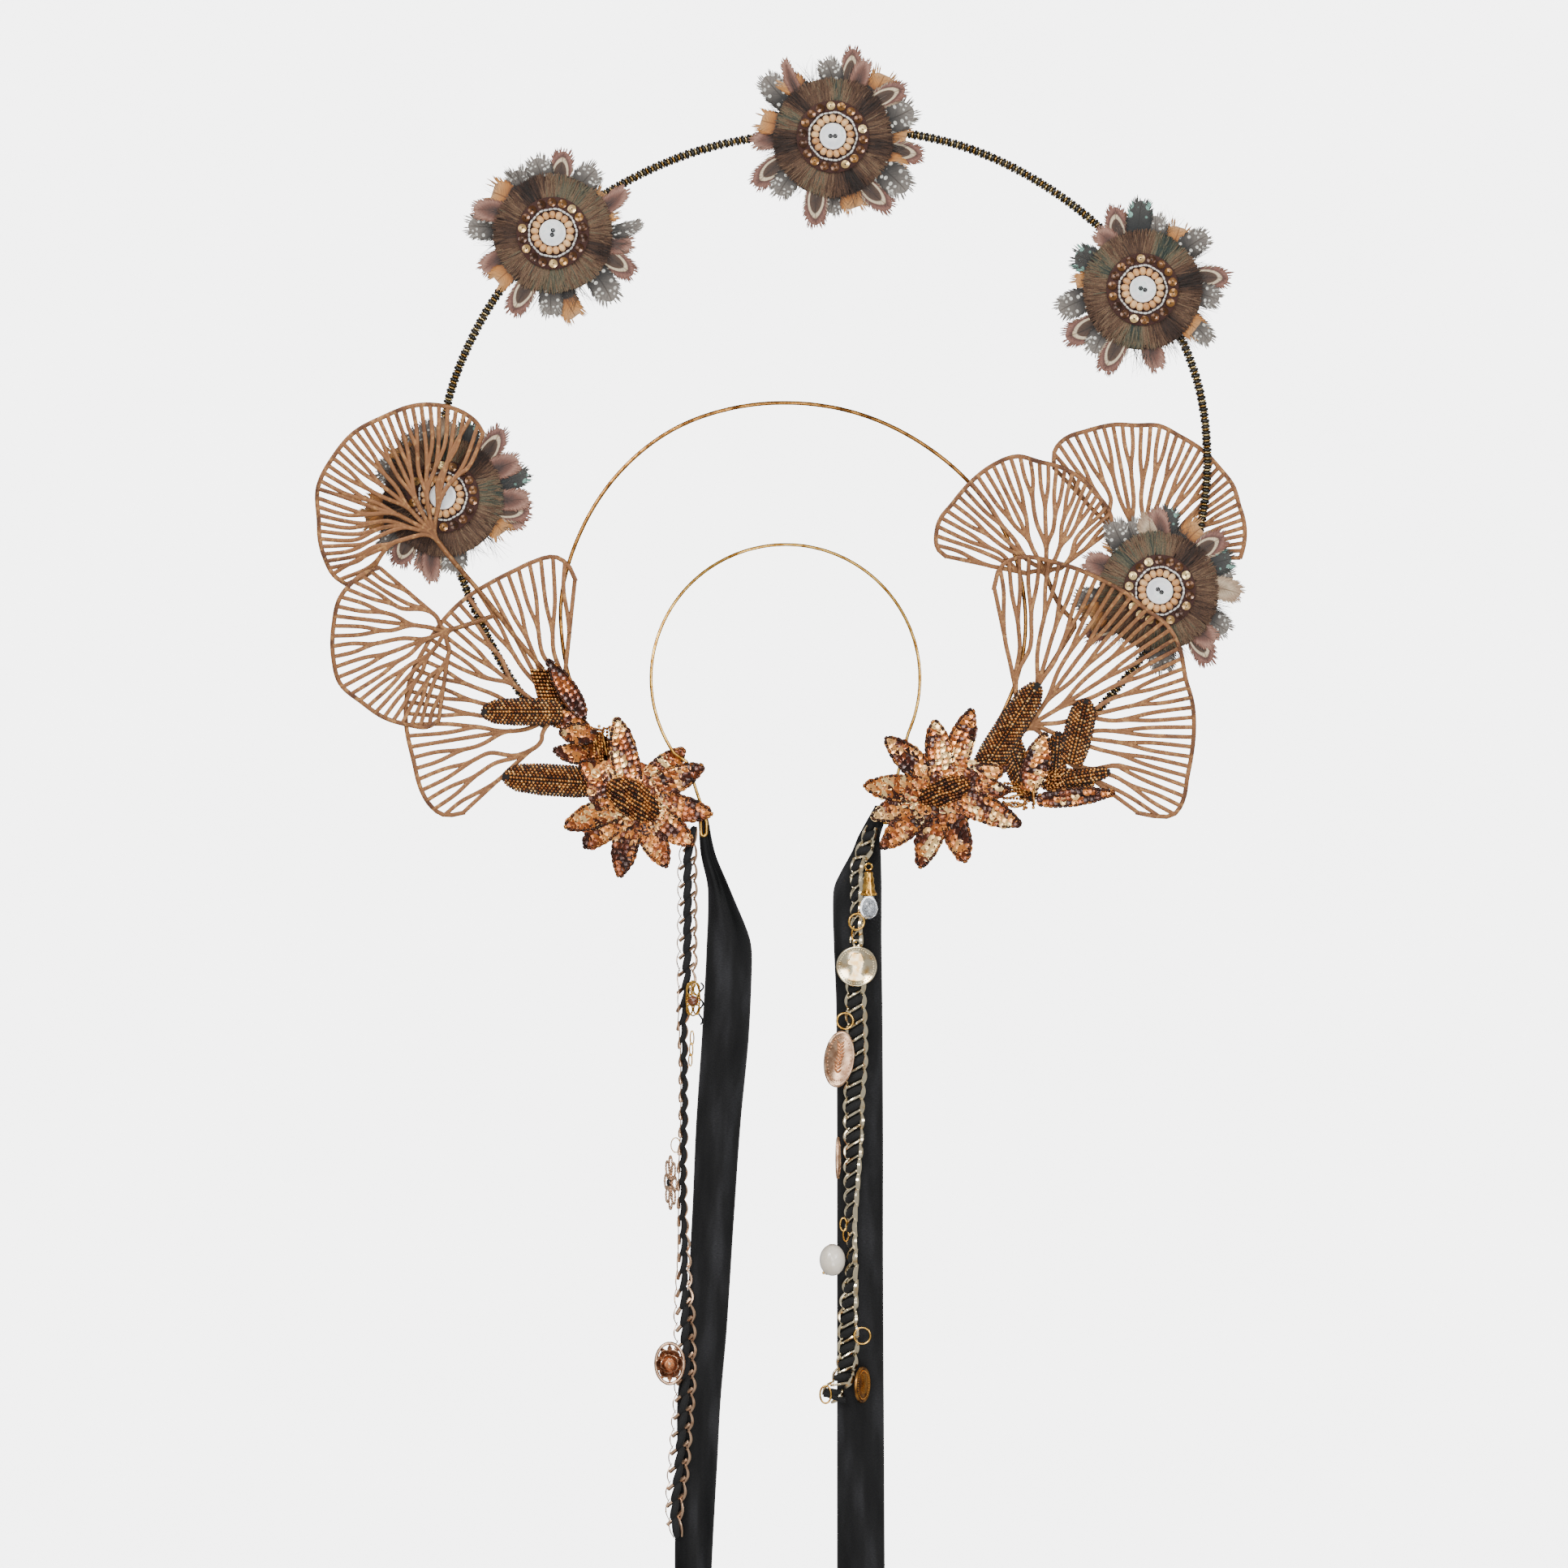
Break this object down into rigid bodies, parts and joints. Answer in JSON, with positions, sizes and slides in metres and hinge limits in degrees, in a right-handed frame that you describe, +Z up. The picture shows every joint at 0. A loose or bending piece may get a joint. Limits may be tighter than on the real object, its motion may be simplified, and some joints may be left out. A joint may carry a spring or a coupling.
{
  "type": "halo crown",
  "caption": "Headdress with a beaded halo hoop, feather flowers, pierced fan leaves, sequin flowers, an inner ring and headband, and hanging ribbons with charm chains.",
  "frame": {"origin": "underside of the top of the headband, where it rests on the head", "axes": "+Z up, the front of the crown towards -Y, +X to the right as seen from the front"},
  "size_m": [0.4566, 0.0292, 0.7626],
  "materials": {
    "gold_metal": "polished",
    "rose_gold_metal": "satin",
    "bronze_leaf": "matt bronze",
    "black_bead": "opaque gloss",
    "feather": "soft",
    "copper_sequin": "metallic gloss",
    "wooden_bead": "waxed",
    "button_shell": "pearl",
    "brown_beadwork": "opaque gloss",
    "black_satin": "satin",
    "brown_stone": "cut",
    "clear_crystal": "cut",
    "pearl_shell": "pearl"
  },
  "bodies": {
    "root": {"coin_ring": "gold_metal", "crystal_cap": "gold_metal", "crystal_drop": "clear_crystal", "edge_charm": "rose_gold_metal", "end_coin": "gold_metal", "filigree_drop": "gold_metal", "filigree_flower": "rose_gold_metal", "filigree_stone": "brown_stone", "flower_left_beads": "wooden_bead", "flower_left_button": "button_shell", "flower_left_feathers": "feather", "flower_left_medallion": "copper_sequin", "flower_right_beads": "wooden_bead", "flower_right_button": "button_shell", "flower_right_feathers": "feather", "flower_right_medallion": "copper_sequin", "flower_top_beads": "wooden_bead", "flower_top_button": "button_shell", "flower_top_feathers": "feather", "flower_top_medallion": "copper_sequin", "flower_upper_left_beads": "wooden_bead", "flower_upper_left_button": "button_shell", "flower_upper_left_feathers": "feather", "flower_upper_left_medallion": "copper_sequin", "flower_upper_right_beads": "wooden_bead", "flower_upper_right_button": "button_shell", "flower_upper_right_feathers": "feather", "flower_upper_right_medallion": "copper_sequin", "halo_hoop": "black_bead", "headband": "gold_metal", "inner_ring": "gold_metal", "leaf_left_lower": "bronze_leaf", "leaf_left_outer": "bronze_leaf", "leaf_left_upper": "bronze_leaf", "leaf_right_inner": "bronze_leaf", "leaf_right_lower": "bronze_leaf", "leaf_right_upper": "bronze_leaf", "left_bud": "copper_sequin", "left_chain": "gold_metal", "left_comb": "brown_beadwork", "left_finger_lower": "brown_beadwork", "left_finger_upper": "brown_beadwork", "left_fringe": "brown_beadwork", "left_ribbon": "black_satin", "left_sepal": "copper_sequin", "left_sequin_flower": "copper_sequin", "medallion_ring": "gold_metal", "oval_medallion": "rose_gold_metal", "pearl": "pearl_shell", "portrait_coin": "gold_metal", "right_bud": "copper_sequin", "right_chain": "gold_metal", "right_finger_inner": "brown_beadwork", "right_finger_outer": "brown_beadwork", "right_finger_small": "brown_beadwork", "right_fringe": "brown_beadwork", "right_petal": "copper_sequin", "right_ribbon": "black_satin", "right_sequin_flower": "copper_sequin", "rose_medallion": "gold_metal"}
  },
  "joints": []
}
